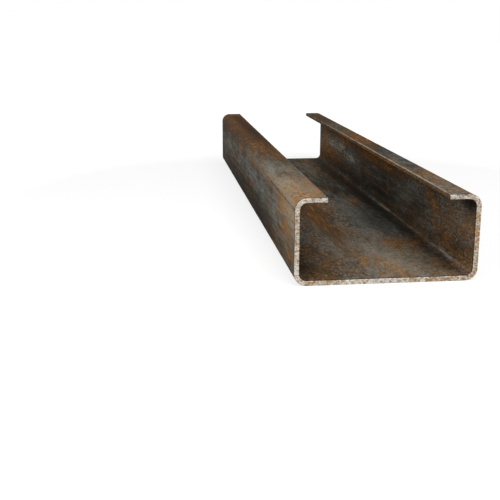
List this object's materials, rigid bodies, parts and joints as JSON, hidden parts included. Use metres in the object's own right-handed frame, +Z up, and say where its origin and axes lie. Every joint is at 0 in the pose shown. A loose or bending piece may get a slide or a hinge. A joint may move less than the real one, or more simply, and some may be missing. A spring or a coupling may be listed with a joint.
{
  "type": "c purlin",
  "caption": "Short length of cold-formed lipped C purlin in weathered black steel, lying on its web with the open side up and both ends sawn square.",
  "frame": {"origin": "On the back of the web, at the middle of its width and of the purlin's length: the point under the middle of the purlin as it lies.", "axes": "+X across the web, +Y along the purlin's length, +Z up from the web towards the lips and the open side."},
  "size_m": [0.15, 0.63, 0.071],
  "materials": {
    "rusted_steel": "matte"
  },
  "bodies": {
    "root": {"c_purlin": "rusted_steel"}
  },
  "joints": []
}
